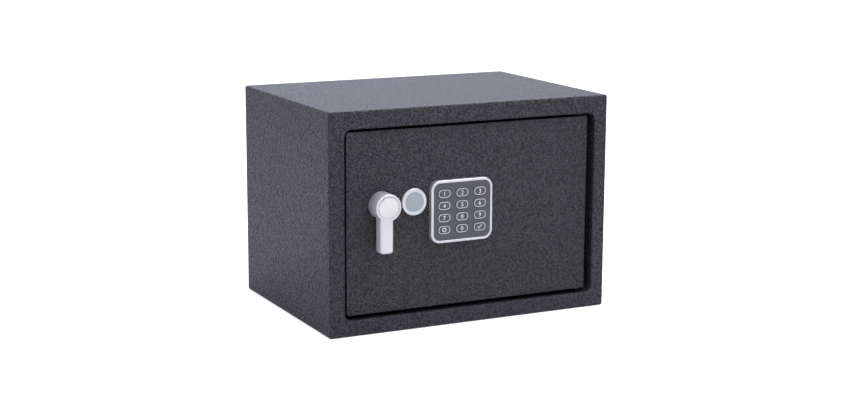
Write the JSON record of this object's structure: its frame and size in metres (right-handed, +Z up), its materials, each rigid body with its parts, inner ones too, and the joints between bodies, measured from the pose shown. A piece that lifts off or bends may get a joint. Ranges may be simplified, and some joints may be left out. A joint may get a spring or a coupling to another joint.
{
  "type": "electronic safe",
  "caption": "Small steel safe with a flush swing door, keypad, turning handle that throws live bolts, and an emergency lock under a cap.",
  "frame": {"origin": "middle of the underside of the body", "axes": "+X to the right seen from the front, -Y out of the front, +Z up"},
  "size_m": [0.35, 0.268, 0.25],
  "materials": {
    "body_coat": "textured powder coat on steel, charcoal",
    "door_coat": "textured powder coat on steel, charcoal",
    "bare_steel": "turned steel",
    "zinc_plate": "bright zinc plating",
    "bolt_chrome": "chromed steel bar",
    "coil_tape": "taped winding",
    "lock_nickel": "nickel plate",
    "brass_turned": "turned brass",
    "satin_zinc": "satin nickel on a zinc casting",
    "spun_aluminium": "spun face",
    "silver_plastic": "silver lacquered plastic",
    "grey_plastic": "moulded dark grey plastic",
    "cap_enamel": "pale blue-grey moulded plastic",
    "mat_rubber": "silicone rubber",
    "board_green": "solder mask",
    "black_plastic": "moulded black plastic",
    "cell_sleeve": "printed sleeve, plain",
    "red_plastic": "moulded red plastic"
  },
  "bodies": {
    "cabinet": {"body_shell": "body_coat", "back_panel": "body_coat", "hinge_bushes": "body_coat"},
    "door": {"door_plate": "door_coat", "hinge_arms": "door_coat", "hinge_pins": "bare_steel", "handle_bush": "zinc_plate", "bolt_guides": "zinc_plate", "guide_studs": "zinc_plate", "solenoid_frame": "zinc_plate", "solenoid_coil": "coil_tape", "plunger_spring": "bare_steel", "lock_barrel": "lock_nickel", "lock_nut": "lock_nickel", "keypad_housing": "silver_plastic", "keypad_panel": "grey_plastic", "keypad_board": "board_green", "key_mat": "mat_rubber", "mechanism_cover": "door_coat", "cover_posts": "zinc_plate", "cover_screws": "zinc_plate", "battery_case": "black_plastic", "battery_cells": "cell_sleeve", "battery_contacts": "lock_nickel", "reset_switch": "black_plastic", "board_spacers": "brass_turned", "circuit_board": "board_green"},
    "handle": {"handle_lever": "satin_zinc", "handle_disc": "spun_aluminium", "handle_spindle": "zinc_plate", "handle_crank": "zinc_plate", "spindle_nut": "zinc_plate"},
    "bolt_work": {"bolt_plate": "zinc_plate", "live_bolts": "bolt_chrome", "bolt_rivets": "bare_steel"},
    "plunger": {"solenoid_plunger": "bare_steel"},
    "lock_plug": {"lock_plug": "brass_turned", "lock_cam": "zinc_plate"},
    "lock_cap": {"cap_ring": "silver_plastic", "cap_face": "cap_enamel"},
    "battery_lid": {"battery_lid": "black_plastic"},
    "reset_button": {"reset_button": "red_plastic"},
    "key_1": {"key_1": "grey_plastic"},
    "key_2": {"key_2": "grey_plastic"},
    "key_3": {"key_3": "grey_plastic"},
    "key_4": {"key_4": "grey_plastic"},
    "key_5": {"key_5": "grey_plastic"},
    "key_6": {"key_6": "grey_plastic"},
    "key_7": {"key_7": "grey_plastic"},
    "key_8": {"key_8": "grey_plastic"},
    "key_9": {"key_9": "grey_plastic"},
    "key_ring": {"key_ring": "grey_plastic"},
    "key_0": {"key_0": "grey_plastic"},
    "key_tick": {"key_tick": "grey_plastic"}
  },
  "joints": [
    {"name": "door_hinge", "type": "hinge", "parent": "cabinet", "child": "door", "pos_m": [0.147, -0.111, 0.1246], "axis": [0, 0, 1], "range_deg": [0, 90]},
    {"name": "handle_turn", "type": "hinge", "parent": "door", "child": "handle", "pos_m": [-0.112, -0.121, 0.1444], "axis": [0, -1, 0], "range_deg": [0, 45]},
    {"name": "bolt_throw", "type": "slide", "parent": "door", "child": "bolt_work", "axis": [-1, 0, 0], "range_m": [0, 0.01302]},
    {"name": "plunger_slide", "type": "slide", "parent": "door", "child": "plunger", "axis": [0, 0, 1], "range_m": [0, 0.006], "deforming": ["plunger_spring"]},
    {"name": "lock_turn", "type": "hinge", "parent": "door", "child": "lock_plug", "pos_m": [-0.072, -0.121, 0.1444], "axis": [0, 1, 0], "range_deg": [0, 90]},
    {"name": "cap_pull", "type": "slide", "parent": "door", "child": "lock_cap", "axis": [0, -1, 0], "range_m": [0, 0.025]},
    {"name": "battery_lid_slide", "type": "slide", "parent": "door", "child": "battery_lid", "axis": [-1, 0, 0], "range_m": [0, 0.07]},
    {"name": "reset_press", "type": "slide", "parent": "door", "child": "reset_button", "axis": [0, -1, 0], "range_m": [0, 0.0015], "stiffness_N_per_m": 300},
    {"name": "key_1_press", "type": "slide", "parent": "door", "child": "key_1", "axis": [0, 1, 0], "range_m": [0, 0.0008], "stiffness_N_per_m": 500},
    {"name": "key_2_press", "type": "slide", "parent": "door", "child": "key_2", "axis": [0, 1, 0], "range_m": [0, 0.0008], "stiffness_N_per_m": 500},
    {"name": "key_3_press", "type": "slide", "parent": "door", "child": "key_3", "axis": [0, 1, 0], "range_m": [0, 0.0008], "stiffness_N_per_m": 500},
    {"name": "key_4_press", "type": "slide", "parent": "door", "child": "key_4", "axis": [0, 1, 0], "range_m": [0, 0.0008], "stiffness_N_per_m": 500},
    {"name": "key_5_press", "type": "slide", "parent": "door", "child": "key_5", "axis": [0, 1, 0], "range_m": [0, 0.0008], "stiffness_N_per_m": 500},
    {"name": "key_6_press", "type": "slide", "parent": "door", "child": "key_6", "axis": [0, 1, 0], "range_m": [0, 0.0008], "stiffness_N_per_m": 500},
    {"name": "key_7_press", "type": "slide", "parent": "door", "child": "key_7", "axis": [0, 1, 0], "range_m": [0, 0.0008], "stiffness_N_per_m": 500},
    {"name": "key_8_press", "type": "slide", "parent": "door", "child": "key_8", "axis": [0, 1, 0], "range_m": [0, 0.0008], "stiffness_N_per_m": 500},
    {"name": "key_9_press", "type": "slide", "parent": "door", "child": "key_9", "axis": [0, 1, 0], "range_m": [0, 0.0008], "stiffness_N_per_m": 500},
    {"name": "key_ring_press", "type": "slide", "parent": "door", "child": "key_ring", "axis": [0, 1, 0], "range_m": [0, 0.0008], "stiffness_N_per_m": 500},
    {"name": "key_0_press", "type": "slide", "parent": "door", "child": "key_0", "axis": [0, 1, 0], "range_m": [0, 0.0008], "stiffness_N_per_m": 500},
    {"name": "key_tick_press", "type": "slide", "parent": "door", "child": "key_tick", "axis": [0, 1, 0], "range_m": [0, 0.0008], "stiffness_N_per_m": 500}
  ],
  "couplings": [
    {"joint": "bolt_throw", "follows": "handle_turn", "m_per_rad": 0.016566}
  ]
}
